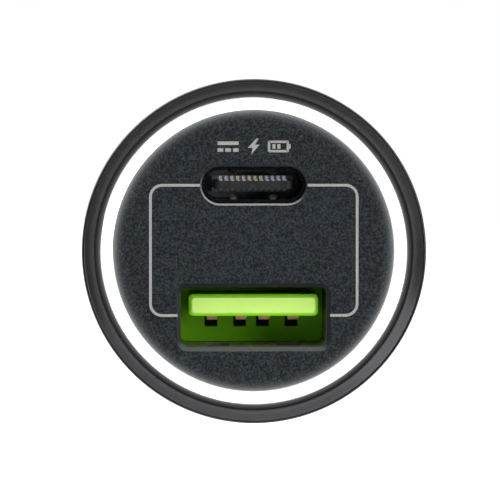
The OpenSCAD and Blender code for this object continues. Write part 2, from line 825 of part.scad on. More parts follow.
// a square fuse between the tip spring and the controller, with a cap on each end
module fuse() {
  color("ivory") lay() {
    translate([0, main_board_t / 2 + fit_gap + fuse_w / 2, spread(top_sizes, 3)]) {
      cube([fuse_w - 0.3, fuse_w - 0.3, fuse_len - 0.4], center = true);
      for (z = [-1, 1]) {
        translate([0, 0, z * (fuse_len / 2 - 0.7)]) cube([fuse_w, fuse_w, 1.4], center = true);
      }
    }
  }
}

// the plate that the tip spring pushes on, soldered over the end of the main board by four legs
module spring_plate() {
  boss_r = coil_r - wire_d / 2 - swing_gap;
  leg_t = 0.5;
  color("goldenrod") lay() {
    translate([0, 0, seat_z - seat_t]) cylinder(r = seat_r, h = seat_t, $fn = 64);
    translate([0, 0, seat_z - 2 * seat_t]) cylinder(r = boss_r, h = seat_t + 0.1, $fn = 48);
    for (y = [-1, 1]) {
      translate([0, y * (main_board_t / 2 + fit_gap + leg_t / 2), seat_z + leg_len / 2 - 0.1]) {
        cube([seat_leg_w, leg_t, leg_len + 0.2], center = true);
      }
    }
  }
}

// the tip spring: a wire swept along a coil that is closed at both ends
module tip_spring() {
  sides = 8;
  per_turn = 16;
  rings = round(spring_turns * per_turn);
  low = tip_back_z + fit_gap + wire_d / 2;
  high = seat_z - seat_t - fit_gap - wire_d / 2;
  dead = per_turn * 0.8;
  shut = wire_d * 1.04 / per_turn;
  open = (high - low - 2 * dead * shut) / (rings - 2 * dead);
  function height(i) =
    i < dead ? low + i * shut
    : i > rings - dead ? high - (rings - i) * shut
    : low + dead * shut + (i - dead) * open;
  points = [
    for (i = [0:rings])
      for (k = [0:sides - 1])
        let (a = i * 360 / per_turn, b = k * 360 / sides, r = coil_r + wire_d / 2 * cos(b))
          [r * cos(a), r * sin(a), height(i) + wire_d / 2 * sin(b)]
  ];
  walls = [
    for (i = [0:rings - 1])
      for (k = [0:sides - 1])
        let (a = i * sides + k, b = i * sides + (k + 1) % sides)
          [a, b, b + sides, a + sides]
  ];
  first = [for (k = [sides - 1:-1:0]) k];
  last = [for (k = [0:sides - 1]) rings * sides + k];
  color("lightgray") lay() polyhedron(points, concat([first], walls, [last]), convexity = 8);
}

module tip_contact() {
  dome = 1.4;
  out_z = nose_z - tip_out;
  color("silver") lay() rotate_extrude($fn = 64) polygon(concat(
    [
      [0, tip_back_z + tip_stub],
      [tip_stub_d / 2 - 0.4, tip_back_z + tip_stub],
      [tip_stub_d / 2, tip_back_z + tip_stub - 0.4],
      [tip_stub_d / 2, tip_back_z],
      [tip_flange_r, tip_back_z],
      [tip_flange_r, flange_z],
      [tip_r, flange_z],
      [tip_r, out_z + dome]
    ],
    arc(tip_r - dome, out_z + dome, dome, -9, -90, 9),
    [[0, out_z]]
  ));
}

// the nose ring screws over the neck and holds the tip contact's flange
module nose_ring() {
  edge = 0.7;
  top = cone_z - fit_gap;
  color("gray") lay() difference() {
    rotate_extrude($fn = round_fn) polygon(concat(
      [[neck_r + fit_gap, top], [nose_r - 0.2, top], [nose_r, top - 0.2]],
      arc(nose_r - edge, nose_z + edge, edge, 0, -90, 8),
      [
        [tip_r + slide_gap + 0.3, nose_z],
        [tip_r + slide_gap, nose_z + 0.3],
        [tip_r + slide_gap, flange_z - fit_gap],
        [neck_r + fit_gap, flange_z - fit_gap]
      ]
    ));
    for (i = [0:flutes - 1]) {
      rotate([0, 0, i * 360 / flutes]) translate([nose_r + flute_r * 0.45, 0, nose_z - 1]) {
        cylinder(r = flute_r, h = top - nose_z - 0.2, $fn = small_fn);
      }
    }
  }
}

// the bent strip of a side contact, in u along the plug and v out from its axis
module leaf_outline() {
  difference() {
    polygon(concat(
      arc(bow_u, bow_v, bow_r, 90 + ramp_a, 90 - fall_a, 24),
      [[end_u + tip_round * tan(fall_a / 2), end_v + tip_round]],
      arc(tail_u, end_v, tip_round, 90, -90, 6),
      arc(end_u, end_v, tip_round, -90, -90 - fall_a, 3),
      arc(bow_u, bow_v, bow_r - leaf_t, 90 - fall_a, 90 + ramp_a, 24),
      arc(pivot_u, pivot_v, curl_r, ramp_a + asin((curl_r - leaf_t) / curl_r), ramp_a - 270, 20)
    ));
    translate([pivot_u, pivot_v]) circle(r = curl_r - leaf_t, $fn = small_fn);
  }
}

module side_contact_right() {
  color("silver") lay() rotate([0, -90, -90]) linear_extrude(height = leaf_w, center = true) leaf_outline();
}

module side_contact_left() {
  color("silver") lay() mirror([1, 0, 0]) rotate([0, -90, -90]) {
    linear_extrude(height = leaf_w, center = true) leaf_outline();
  }
}

head_shell();
barrel_shell();
face_plate();
light_ring();
leds();
port_board();
usb_a_shell();
usb_a_tongue();
usb_a_contacts();
usb_c_shell();
usb_c_tongue();
usb_c_contacts();
main_board();
inductors();
power_chips();
input_capacitor();
output_capacitors();
fuse();
spring_plate();
tip_spring();
tip_contact();
nose_ring();
side_contact_left();
side_contact_right();
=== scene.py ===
import math

import bmesh
import bpy
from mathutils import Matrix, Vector


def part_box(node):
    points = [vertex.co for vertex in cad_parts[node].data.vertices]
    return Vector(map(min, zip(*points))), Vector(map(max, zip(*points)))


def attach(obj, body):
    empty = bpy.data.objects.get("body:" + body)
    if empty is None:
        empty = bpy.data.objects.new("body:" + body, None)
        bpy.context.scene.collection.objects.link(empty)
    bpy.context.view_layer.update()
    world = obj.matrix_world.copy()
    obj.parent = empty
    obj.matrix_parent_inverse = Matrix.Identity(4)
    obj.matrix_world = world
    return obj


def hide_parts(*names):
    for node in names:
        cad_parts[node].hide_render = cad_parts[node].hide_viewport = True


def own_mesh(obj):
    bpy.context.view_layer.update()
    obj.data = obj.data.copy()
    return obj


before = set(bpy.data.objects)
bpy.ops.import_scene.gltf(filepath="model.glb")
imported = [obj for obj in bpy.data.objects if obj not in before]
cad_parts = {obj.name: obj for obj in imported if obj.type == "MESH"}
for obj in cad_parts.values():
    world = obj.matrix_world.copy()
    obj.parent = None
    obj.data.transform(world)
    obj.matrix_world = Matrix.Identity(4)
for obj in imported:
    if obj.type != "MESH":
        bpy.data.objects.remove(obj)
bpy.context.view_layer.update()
scene = bpy.context.scene
MM = 0.001


# Camera.
# It stands in front of the face, a little to the left and above, with a long lens that takes in
# a square of 500 pixels of 0.0855 mm.
FACE_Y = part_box("face_plate")[0].y
PICTURE_WIDTH = 500
PIXEL_MM = 0.0855
AIM_X = -0.33 * MM
AIM_Z = 0.09 * MM
camera = bpy.data.objects.new("camera", bpy.data.cameras.new("camera"))
scene.collection.objects.link(camera)
camera_distance = 0.42
camera_azimuth = math.radians(-1.5)
camera_height = math.radians(2.1)
camera.data.sensor_width = 36.0
camera.data.lens = camera.data.sensor_width * camera_distance / (PICTURE_WIDTH * PIXEL_MM * MM)
aim = Vector((AIM_X, FACE_Y, AIM_Z))
back = Vector((
    math.sin(camera_azimuth) * math.cos(camera_height),
    -math.cos(camera_azimuth) * math.cos(camera_height),
    math.sin(camera_height),
))
camera.location = aim + camera_distance * back
camera.rotation_euler = back.to_track_quat("Z", "Y").to_euler()
scene.camera = camera


# Head shell.
# One turned aluminium part, bead blasted and anodised dark grey. It holds everything in the head,
# and its rim slopes inwards to a fine groove beside the light ring.
def new_group(name, inputs, outputs):
    group = bpy.data.node_groups.new(name, "ShaderNodeTree")
    for label, kind, value in inputs:
        socket = group.interface.new_socket(name=label, in_out="INPUT", socket_type=kind)
        socket.default_value = value
    for label, kind in outputs:
        group.interface.new_socket(name=label, in_out="OUTPUT", socket_type=kind)
    return group, group.nodes.new("NodeGroupInput"), group.nodes.new("NodeGroupOutput")


def feed(group, socket, value):
    # a socket takes a number, or what another node puts out
    if isinstance(value, (int, float)):
        socket.default_value = value
    elif value is not None:
        group.links.new(value, socket)


def math_node(group, operation, first, second=None, clamp=False):
    node = group.nodes.new("ShaderNodeMath")
    node.operation = operation
    node.use_clamp = clamp
    feed(group, node.inputs[0], first)
    feed(group, node.inputs[1], second)
    return node.outputs[0]


def noise_node(group, place, scale, detail=2.0, roughness=0.5):
    node = group.nodes.new("ShaderNodeTexNoise")
    group.links.new(place, node.inputs["Vector"])
    feed(group, node.inputs["Scale"], scale)
    node.inputs["Detail"].default_value = detail
    node.inputs["Roughness"].default_value = roughness
    return node.outputs["Fac"]


def range_node(group, value, start=0.0, end=1.0, first=0.0, last=1.0):
    # what runs from start to end comes out running from first to last
    node = group.nodes.new("ShaderNodeMapRange")
    group.links.new(value, node.inputs["Value"])
    feed(group, node.inputs["From Min"], start)
    feed(group, node.inputs["From Max"], end)
    feed(group, node.inputs["To Min"], first)
    feed(group, node.inputs["To Max"], last)
    return node.outputs["Result"]


def mix_node(group, factor, first, second):
    node = group.nodes.new("ShaderNodeMix")
    node.data_type = "RGBA"
    group.links.new(factor, node.inputs["Factor"])
    group.links.new(first, node.inputs["A"])
    group.links.new(second, node.inputs["B"])
    return node.outputs["Result"]


def own_place(group):
    return group.nodes.new("ShaderNodeTexCoord").outputs["Object"]


def parts_of(group, vector):
    split = group.nodes.new("ShaderNodeSeparateXYZ")
    group.links.new(vector, split.inputs[0])
    return split.outputs


def in_mm(group, length):
    return math_node(group, "MULTIPLY", length, 1 / MM)


def radius_from_axis(group, place):
    across = math_node(group, "MULTIPLY", place["X"], place["X"])
    up = math_node(group, "MULTIPLY", place["Z"], place["Z"])
    return in_mm(group, math_node(group, "SQRT", math_node(group, "ADD", across, up)))


# a grain's colour is mostly its fine noise, stretched from this range, and partly the clouds, which
# are this many times as wide
GRAIN_RANGE = (0.32, 0.68)
FINE_SHARE = 0.8
CLOUD_SHARE = 0.2
CLOUD_WIDTH = 25.0


def build_grain():
    # a fine grain over broad clouds: the height follows the grain, the gloss the clouds, and the
    # colour both
    group, given, made = new_group(
        "surface_grain",
        [
            ("Grain Size", "NodeSocketFloat", 0.1),
            ("Dark", "NodeSocketColor", (0.0, 0.0, 0.0, 1.0)),
            ("Pale", "NodeSocketColor", (1.0, 1.0, 1.0, 1.0)),
            ("Rough Low", "NodeSocketFloat", 0.4),
            ("Rough High", "NodeSocketFloat", 0.5),
        ],
        [("Color", "NodeSocketColor"), ("Roughness", "NodeSocketFloat"), ("Height", "NodeSocketFloat")],
    )
    place = own_place(group)
    per_metre = math_node(group, "DIVIDE", 1 / MM, given.outputs["Grain Size"])
    fine = noise_node(group, place, per_metre, detail=3.0)
    clouds = noise_node(group, place, math_node(group, "DIVIDE", per_metre, CLOUD_WIDTH))
    blend = math_node(
        group, "ADD",
        math_node(group, "MULTIPLY", range_node(group, fine, *GRAIN_RANGE), FINE_SHARE),
        math_node(group, "MULTIPLY", clouds, CLOUD_SHARE),
    )
    colour = mix_node(group, blend, given.outputs["Dark"], given.outputs["Pale"])
    gloss = range_node(group, clouds, first=given.outputs["Rough Low"], last=given.outputs["Rough High"])
    group.links.new(colour, made.inputs["Color"])
    group.links.new(gloss, made.inputs["Roughness"])
    group.links.new(fine, made.inputs["Height"])
    return group


# how far behind the face the ring's glare still reaches
GLARE_DEPTH = 0.45 * MM


def build_glare():
    # the light ring's glare on what stands beside it, which falls off with the distance from its edge
    group, given, made = new_group(
        "ring_glare",
        [
            ("Edge Radius", "NodeSocketFloat", 12.0),
            ("Reach", "NodeSocketFloat", 0.2),
            ("Brightness", "NodeSocketFloat", 0.3),
        ],
        [("Color", "NodeSocketColor")],
    )
    place = parts_of(group, own_place(group))
    away = math_node(group, "SUBTRACT", radius_from_axis(group, place), given.outputs["Edge Radius"])
    share = math_node(group, "DIVIDE", math_node(group, "ABSOLUTE", away), given.outputs["Reach"])
    fall = math_node(group, "EXPONENT", math_node(group, "MULTIPLY", share, -1.0))
    front = math_node(group, "LESS_THAN", place["Y"], FACE_Y + GLARE_DEPTH)
    light = math_node(group, "MULTIPLY", fall, given.outputs["Brightness"])
    light = math_node(group, "MULTIPLY", light, front)
    colour = group.nodes.new("ShaderNodeCombineColor")
    for part in ("Red", "Green", "Blue"):
        group.links.new(light, colour.inputs[part])
    group.links.new(colour.outputs["Color"], made.inputs["Color"])
    return group


surface_grain = build_grain()
ring_glare = build_glare()


def shader_of(material):
    return material.node_tree.nodes["Principled BSDF"]


def finish(name, roughness, metallic=0.0, specular=0.5):
    material = bpy.data.materials.new(name)
    material.use_nodes = True
    shader = shader_of(material)
    shader.inputs["Roughness"].default_value = roughness
    shader.inputs["Metallic"].default_value = metallic
    shader.inputs["Specular IOR Level"].default_value = specular
    return material


def put_group(material, group, **values):
    node = material.node_tree.nodes.new("ShaderNodeGroup")
    node.node_tree = group
    for label, value in values.items():
        node.inputs[label.replace("_", " ")].default_value = value
    return node


def rgb(red, green, blue):
    return (red, green, blue, 1.0)


def add_colour(material, node, *sockets):
    # a group's colour goes to the shader's sockets of these names
    for socket in sockets:
        material.node_tree.links.new(node.outputs["Color"], shader_of(material).inputs[socket])


def add_bump(material, node, depth):
    # a group's height shapes the surface, to a depth in millimetres
    bump = material.node_tree.nodes.new("ShaderNodeBump")
    bump.inputs["Strength"].default_value = 1.0
    bump.inputs["Distance"].default_value = depth * MM
    material.node_tree.links.new(node.outputs["Height"], bump.inputs["Height"])
    material.node_tree.links.new(bump.outputs["Normal"], shader_of(material).inputs["Normal"])


def add_gloss(material, node):
    material.node_tree.links.new(node.outputs["Roughness"], shader_of(material).inputs["Roughness"])


def grained(name, colours, rough, size, depth, metallic=0.0, specular=0.5):
    # a material whose gloss and height follow one grain, and its colour too where it gives a dark
    # and a pale one; size and depth in millimetres
    material = finish(name, rough[0], metallic, specular)
    grain = put_group(material, surface_grain, Grain_Size=size, Rough_Low=rough[0], Rough_High=rough[1])
    if colours:
        grain.inputs["Dark"].default_value = rgb(*colours[0])
        grain.inputs["Pale"].default_value = rgb(*colours[1])
        add_colour(material, grain, "Base Color")
    add_gloss(material, grain)
    add_bump(material, grain, depth)
    return material


def add_glare(material, edge, reach, brightness):
    glare = put_group(material, ring_glare, Edge_Radius=edge, Reach=reach, Brightness=brightness)
    add_colour(material, glare, "Emission Color")
    shader_of(material).inputs["Emission Strength"].default_value = 1.0


def dress(material, *names):
    for name in names:
        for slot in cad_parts[name].material_slots:
            slot.material = material


# the two edges of the light ring, in millimetres from the axis
RING_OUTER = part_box("light_ring")[1].x / MM
RING_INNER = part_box("face_plate")[1].x / MM
head_metal = grained(
    "anodised_head", ((0.034, 0.0338, 0.0355), (0.047, 0.0465, 0.0487)), (0.25, 0.32), 0.06, 0.0015,
    metallic=1.0,
)
add_glare(head_metal, RING_OUTER, 0.19, 0.2)
dress(head_metal, "head_shell")


# Barrel and nose ring.
# The barrel is moulded in black glass-filled nylon with a fine spark texture, and is clamped in the
# head by its flange. The fluted nose ring of the same plastic holds the tip contact.
black_plastic = grained(
    "black_nylon", ((0.006, 0.0065, 0.007), (0.015, 0.016, 0.0175)), (0.45, 0.58), 0.16, 0.006,
    specular=0.2,
)
dress(black_plastic, "barrel_shell", "nose_ring")


# Face plate.
# A round charcoal moulding with a coarse spark texture, glued inside the light ring. The line that
# joins the two ports and the small signs above them are pad printed in pale grey ink.

# the range of the noise that the pits are stretched from
PIT_RANGE = (0.4, 0.66)
# a surface is part of the flat front where its normal points this far towards -Y
FRONT_NORMAL = -0.98
# the lower left edges of an opening face right and up, in this ratio; one that leans this way as far
# as FULL_LEAN has the full gloss, and one that leans the other way the least
EDGE_RIGHT = 0.6
EDGE_UP = 0.8
FULL_LEAN = 0.55
LEAST_GLOSS = 0.05
# the share of the gloss that the edges of the lower opening have
LOWER_GLOSS = 0.17


def build_spark():
    # a spark-eroded mould leaves its texture on the flat front; the edges of its openings come out
    # smooth, and take the dark colour as painted shade inside the openings, and the lower left ones
    # glossy, most of all round the upper opening
    group, given, made = new_group(
        "spark_texture_and_edge_shade",
        [
            ("Pit Size", "NodeSocketFloat", 0.2),
            ("Dark", "NodeSocketColor", (0.0, 0.0, 0.0, 1.0)),
            ("Pale", "NodeSocketColor", (1.0, 1.0, 1.0, 1.0)),
            ("Front Rough", "NodeSocketFloat", 0.6),
            ("Edge Rough", "NodeSocketFloat", 0.3),
            ("Openings Within", "NodeSocketFloat", 11.0),
        ],
        [
            ("Color", "NodeSocketColor"),
            ("Roughness", "NodeSocketFloat"),
            ("Height", "NodeSocketFloat"),
            ("Edge", "NodeSocketFloat"),
        ],
    )
    place = own_place(group)
    per_metre = math_node(group, "DIVIDE", 1 / MM, given.outputs["Pit Size"])
    pits = noise_node(group, place, per_metre, detail=3.0, roughness=0.65)
    normal = parts_of(group, group.nodes.new("ShaderNodeNewGeometry").outputs["Normal"])
    front = math_node(group, "LESS_THAN", normal["Y"], FRONT_NORMAL)
    where = parts_of(group, place)
    radius = radius_from_axis(group, where)
    inside = math_node(group, "LESS_THAN", radius, given.outputs["Openings Within"])
    smooth = math_node(group, "MULTIPLY", math_node(group, "SUBTRACT", 1.0, front), inside)
    # the smooth edges take the dark colour: painted shade inside the openings
    texture = math_node(
        group, "MULTIPLY",
        range_node(group, pits, *PIT_RANGE),
        math_node(group, "SUBTRACT", 1.0, smooth),
    )
    colour = mix_node(group, texture, given.outputs["Dark"], given.outputs["Pale"])
    lean = math_node(
        group, "ADD",
        math_node(group, "MULTIPLY", normal["X"], EDGE_RIGHT),
        math_node(group, "MULTIPLY", normal["Z"], EDGE_UP),
    )
    upper_opening = math_node(group, "GREATER_THAN", where["Z"], 0.0)
    edge = math_node(
        group, "MULTIPLY",
        range_node(group, lean, end=FULL_LEAN, first=LEAST_GLOSS),
        range_node(group, upper_opening, first=LOWER_GLOSS),
    )
    edge = math_node(group, "MULTIPLY", edge, smooth)
    gloss = range_node(
        group, math_node(group, "SUBTRACT", 1.0, edge),
        first=given.outputs["Edge Rough"], last=given.outputs["Front Rough"],
    )
    group.links.new(colour, made.inputs["Color"])
    group.links.new(gloss, made.inputs["Roughness"])
    group.links.new(math_node(group, "MULTIPLY", pits, front), made.inputs["Height"])
    group.links.new(edge, made.inputs["Edge"])
    return group


FRONT_ROUGH = 0.6
# the openings lie at least this far inside the plate's own edge, in millimetres
PLATE_RIM = 0.9
face_plastic = finish("charcoal_face", FRONT_ROUGH, specular=0.16)
shader_of(face_plastic).inputs["Coat Roughness"].default_value = 0.4
shader_of(face_plastic).inputs["Coat IOR"].default_value = 2.6
spark = put_group(
    face_plastic, build_spark(), Pit_Size=0.19, Dark=rgb(0.002, 0.0035, 0.005),
    Pale=rgb(0.03, 0.037, 0.042), Front_Rough=FRONT_ROUGH, Edge_Rough=0.34,
    Openings_Within=RING_INNER - PLATE_RIM,
)
add_colour(face_plastic, spark, "Base Color")
add_gloss(face_plastic, spark)
add_bump(face_plastic, spark, 0.04)
face_plastic.node_tree.links.new(spark.outputs["Edge"], shader_of(face_plastic).inputs["Coat Weight"])
add_glare(face_plastic, RING_INNER, 0.24, 0.26)
dress(face_plastic, "face_plate")

INK_THICKNESS = 0.02 * MM
ink_mesh = bmesh.new()


def ink_shape(outline):
    # a flat printed shape, given in millimetres across and up the face
    front = [ink_mesh.verts.new((x * MM, FACE_Y - INK_THICKNESS, z * MM)) for x, z in outline]
    rear = [ink_mesh.verts.new((x * MM, FACE_Y, z * MM)) for x, z in outline]
    ink_mesh.faces.new(front)
    for i in range(len(outline)):
        j = (i + 1) % len(outline)
        ink_mesh.faces.new((front[j], front[i], rear[i], rear[j]))


def ink_line(points, width):
    # an even line along points, mitred at each of them
    left, right = [], []
    for i, point in enumerate(points):
        before = Vector(points[max(i - 1, 0)])
        after = Vector(points[min(i + 1, len(points) - 1)])
        along = (after - before).normalized()
        side = Vector((-along.y, along.x)) * width / 2
        left.append(tuple(Vector(point) + side))
        right.append(tuple(Vector(point) - side))
    for i in range(len(points) - 1):
        ink_shape([left[i], left[i + 1], right[i + 1], right[i]])


# the line runs from each end of the USB-C opening out and down to the USB-A opening
LINE_X = 8.84
LINE_TOP = 5.63
LINE_BOTTOM = -5.51
LINE_WIDTH = 0.23
LINE_CORNER = 1.0
USB_C_HALF = 4.6
USB_A_HALF = 6.53
CORNER_STEPS = 10
for side in (-1, 1):
    path = [(side * USB_C_HALF, LINE_TOP)]
    for height, start in ((LINE_TOP - LINE_CORNER, 90), (LINE_BOTTOM + LINE_CORNER, 0)):
        for step in range(CORNER_STEPS + 1):
            turn = math.radians(start - 90 * step / CORNER_STEPS)
            path.append((
                side * (LINE_X - LINE_CORNER + LINE_CORNER * math.cos(turn)),
                height + LINE_CORNER * math.sin(turn),
            ))
    path.append((side * USB_A_HALF, LINE_BOTTOM))
    ink_line(path, LINE_WIDTH)

# the signs: how high their middle stands on the face, and the width of their strokes
SIGN_Z = 8.94
BAR_WIDTH = 0.3
OUTLINE_WIDTH = 0.2


def raised(points):
    # points given from the middle of the row of signs
    return [(x, SIGN_Z + z) for x, z in points]


def ink_block(left, right, half_height):
    ink_shape(raised([
        (left, -half_height), (right, -half_height), (right, half_height), (left, half_height),
    ]))


# direct current: a bar over three dashes
for left, right, height in (
    (-3.1, -1.3, 0.28), (-3.1, -2.62, -0.3), (-2.44, -1.96, -0.3), (-1.78, -1.3, -0.3),
):
    ink_line(raised([(left, height), (right, height)]), BAR_WIDTH)
# a bolt, as its upper and its lower half
ink_shape(raised([(0.2, 0.68), (-0.52, -0.12), (-0.1, -0.12), (0.08, 0.16), (0.42, 0.68)]))
ink_shape(raised([(-0.1, -0.12), (-0.24, -0.7), (0.5, 0.16), (0.08, 0.16)]))
# a battery: its outline, two charged bars and the pole
for points in (
    [(1.3, -0.46), (1.3, 0.46)],
    [(1.3, 0.4), (2.9, 0.4)],
    [(1.3, -0.4), (2.9, -0.4)],
    [(2.9, -0.46), (2.9, 0.46)],
):
    ink_line(raised(points), OUTLINE_WIDTH)
for left, right in ((1.59, 1.85), (2.01, 2.27), (2.98, 3.14)):
    ink_block(left, right, 0.2)


def add_piece(name, mesh, material, body):
    bmesh.ops.recalc_face_normals(mesh, faces=mesh.faces)
    data = bpy.data.meshes.new(name)
    mesh.to_mesh(data)
    mesh.free()
    data.materials.append(material)
    piece = bpy.data.objects.new(name, data)
    scene.collection.objects.link(piece)
    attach(piece, body)
    return piece


ink = grained("pale_ink", ((0.23, 0.23, 0.22), (0.36, 0.36, 0.34)), (0.5, 0.6), 0.12, 0.003)
add_piece("face_print", ink_mesh, ink, "plug")


# Light ring and its diodes.
# The ring is one milky moulding round the face plate. Eight warm white diodes on the port board
# shine into its rear edge and it glows evenly.
ring_white = grained("ring_diffuser", ((0.8, 0.8, 0.82), (0.86, 0.86, 0.87)), (0.3, 0.36), 0.4, 0.002)
shader_of(ring_white).inputs["Emission Color"].default_value = rgb(1.0, 1.0, 1.0)
shader_of(ring_white).inputs["Emission Strength"].default_value = 0.6
dress(ring_white, "light_ring")
diode_resin = grained("diode_resin", ((0.78, 0.66, 0.3), (0.9, 0.8, 0.45)), (0.25, 0.35), 0.2, 0.002)
dress(diode_resin, "leds")


# USB-A port.
# A bent nickel-plated steel shell with spring fingers, a lime green insulator whose tongue carries
# the contacts, and four gold-plated contacts bowed out of the tongue's underside.

# how many rolling lines and clouds a metre of sheet has, the lines drawn out along Y
LINES_A_METRE = (6000.0, 500.0, 6000.0)
CLOUDS_A_METRE = 900.0


def build_plating():
    # fine rolling lines along the sheet in the gloss and the height, soft clouds in the colour
    group, given, made = new_group(
        "plated_sheet",
        [
            ("Metal", "NodeSocketColor", (0.7, 0.7, 0.7, 1.0)),
            ("Dull", "NodeSocketColor", (0.5, 0.5, 0.5, 1.0)),
            ("Rough Low", "NodeSocketFloat", 0.2),
            ("Rough High", "NodeSocketFloat", 0.35),
        ],
        [("Color", "NodeSocketColor"), ("Roughness", "NodeSocketFloat"), ("Height", "NodeSocketFloat")],
    )
    place = own_place(group)
    stretch = group.nodes.new("ShaderNodeMapping")
    stretch.inputs["Scale"].default_value = LINES_A_METRE
    group.links.new(place, stretch.inputs["Vector"])
    lines = noise_node(group, stretch.outputs["Vector"], 1.0)
    clouds = noise_node(group, place, CLOUDS_A_METRE)
    colour = mix_node(group, clouds, given.outputs["Metal"], given.outputs["Dull"])
    gloss = range_node(group, lines, first=given.outputs["Rough Low"], last=given.outputs["Rough High"])
    group.links.new(colour, made.inputs["Color"])
    group.links.new(gloss, made.inputs["Roughness"])
    group.links.new(lines, made.inputs["Height"])
    return group


plated_sheet = build_plating()


def plated(name, colours, rough, depth):
    # a plated metal whose gloss and height follow the rolling lines of its sheet, and its colour the
    # clouds in the plating where it gives a clean and a dull one; depth in millimetres
    material = finish(name, rough[0], metallic=1.0)
    plate = put_group(material, plated_sheet, Rough_Low=rough[0], Rough_High=rough[1])
    if colours:
        plate.inputs["Metal"].default_value = rgb(*colours[0])
        plate.inputs["Dull"].default_value = rgb(*colours[1])
        add_colour(material, plate, "Base Color")
    add_gloss(material, plate)
    add_bump(material, plate, depth)
    return material


nickel = plated("nickel_shell", ((0.44, 0.41, 0.36), (0.34, 0.31, 0.27)), (0.34, 0.46), 0.0015)
dress(nickel, "usb_a_shell")
gold = plated("gold_contact", ((1.0, 0.64, 0.3), (0.95, 0.56, 0.24)), (0.5, 0.62), 0.001)
shader_of(gold).inputs["Metallic"].default_value = 0.3
dress(gold, "usb_a_contacts")


# a faint mottle, this many spots a metre, adds up to this share of the deep colour
SPOTS_A_METRE = 1500.0
SPOT_SHARE = 0.12


def build_depth():
    # the colour changes from the front edge inwards, as painted light and shade: the lime insulator is
    # painted palest there, as lit, and darker deeper in, as shaded, and the dark tongue of the upper
    # port is the darkest there and painted greyer deeper in
    group, given, made = new_group(
        "painted_light_by_depth",
        [
            ("Front", "NodeSocketFloat", 0.0),
            ("Reach", "NodeSocketFloat", 0.3),
            ("Deep", "NodeSocketColor", (0.0, 0.0, 0.0, 1.0)),
            ("Lit", "NodeSocketColor", (1.0, 1.0, 1.0, 1.0)),
        ],
        [("Color", "NodeSocketColor")],
    )
    place = own_place(group)
    along = in_mm(group, parts_of(group, place)["Y"])
    depth = math_node(group, "SUBTRACT", along, given.outputs["Front"])
    share = math_node(group, "DIVIDE", depth, given.outputs["Reach"], clamp=True)
    mottle = math_node(group, "MULTIPLY", noise_node(group, place, SPOTS_A_METRE), SPOT_SHARE)
    share = math_node(group, "ADD", share, mottle, clamp=True)
    colour = mix_node(group, share, given.outputs["Lit"], given.outputs["Deep"])
    group.links.new(colour, made.inputs["Color"])
    return group


painted_light_by_depth = build_depth()
# the lime is painted palest at its front edge, as lit, and darker and greener deeper in, as painted shade
lime = grained("lime_insulator", None, (0.42, 0.5), 0.3, 0.002, specular=0.2)
lime_painted_light = put_group(
    lime, painted_light_by_depth, Front=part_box("usb_a_tongue")[0].y / MM, Reach=0.18,
    Deep=rgb(0.22, 0.68, 0.005), Lit=rgb(0.57, 0.86, 0.2),
)
add_colour(lime, lime_painted_light, "Base Color")
dress(lime, "usb_a_tongue")


# USB-C port.
# A seamless shell with round ends and four contact dimples, plated in black nickel. Its dark tongue
# carries a row of thinly gold-plated contacts on each side.
# the dark tongue is painted greyer deeper in, as painted light in the dark port
tongue_black = grained("tongue_resin", None, (0.4, 0.5), 0.1, 0.004)
tongue_painted_light = put_group(
    tongue_black, painted_light_by_depth, Front=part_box("usb_c_tongue")[0].y / MM, Reach=3.5,
    Deep=rgb(0.4, 0.44, 0.47), Lit=rgb(0.002, 0.002, 0.002),
)
add_colour(tongue_black, tongue_painted_light, "Base Color")
dress(tongue_black, "usb_c_tongue")


# the two shades of thin plating change in blotches, this many a metre, stretched from this range
BLOTCHES_A_METRE = 1300.0
BLOTCH_RANGE = (0.4, 0.6)


def build_rows():
    # the upper row of contacts is painted as lit, in two shades of plating, the lower row dark as painted
    # shade
    group, given, made = new_group(
        "contact_rows_lit_and_shaded",
        [
            ("Middle Height", "NodeSocketFloat", 0.0),
            ("Upper", "NodeSocketColor", (1.0, 1.0, 1.0, 1.0)),
            ("Upper Second", "NodeSocketColor", (1.0, 1.0, 1.0, 1.0)),
            ("Lower", "NodeSocketColor", (0.0, 0.0, 0.0, 1.0)),
        ],
        [("Color", "NodeSocketColor")],
    )
    place = own_place(group)
    blotch = range_node(group, noise_node(group, place, BLOTCHES_A_METRE, detail=1.0), *BLOTCH_RANGE)
    plating = mix_node(group, blotch, given.outputs["Upper"], given.outputs["Upper Second"])
    height = in_mm(group, parts_of(group, place)["Z"])
    above = math_node(group, "GREATER_THAN", height, given.outputs["Middle Height"])
    colour = mix_node(group, above, given.outputs["Lower"], plating)
    group.links.new(colour, made.inputs["Color"])
    return group


# over how many millimetres the brass colour fades in towards a dimple's tip
TIP_FADE = 0.15


def build_painted_tips():
    # the dimples stand in from the flat walls of the shell, and the tips of the lower two are painted
    # brass as a highlight
    group, given, made = new_group(
        "lower_tips_painted_lit",
        [
            ("Plating", "NodeSocketColor", (0.1, 0.1, 0.1, 1.0)),
            ("Brass", "NodeSocketColor", (0.6, 0.4, 0.2, 1.0)),
            ("Centre Height", "NodeSocketFloat", 5.6),
            ("Wall Height", "NodeSocketFloat", 1.28),
            ("Half Width", "NodeSocketFloat", 2.6),
        ],
        [("Color", "NodeSocketColor")],
    )
    place = parts_of(group, own_place(group))
    height = in_mm(group, place["Z"])
    rise = math_node(group, "SUBTRACT", height, given.outputs["Centre Height"])
    inward = math_node(
        group, "SUBTRACT", given.outputs["Wall Height"], math_node(group, "ABSOLUTE", rise),
    )
    tip = math_node(group, "DIVIDE", inward, TIP_FADE, clamp=True)
    across = math_node(group, "ABSOLUTE", in_mm(group, place["X"]))
    flat_part = math_node(group, "LESS_THAN", across, given.outputs["Half Width"])
    lower = math_node(group, "LESS_THAN", height, given.outputs["Centre Height"])
    tip = math_node(group, "MULTIPLY", math_node(group, "MULTIPLY", tip, flat_part), lower)
    colour = mix_node(group, tip, given.outputs["Plating"], given.outputs["Brass"])
    group.links.new(colour, made.inputs["Color"])
    return group


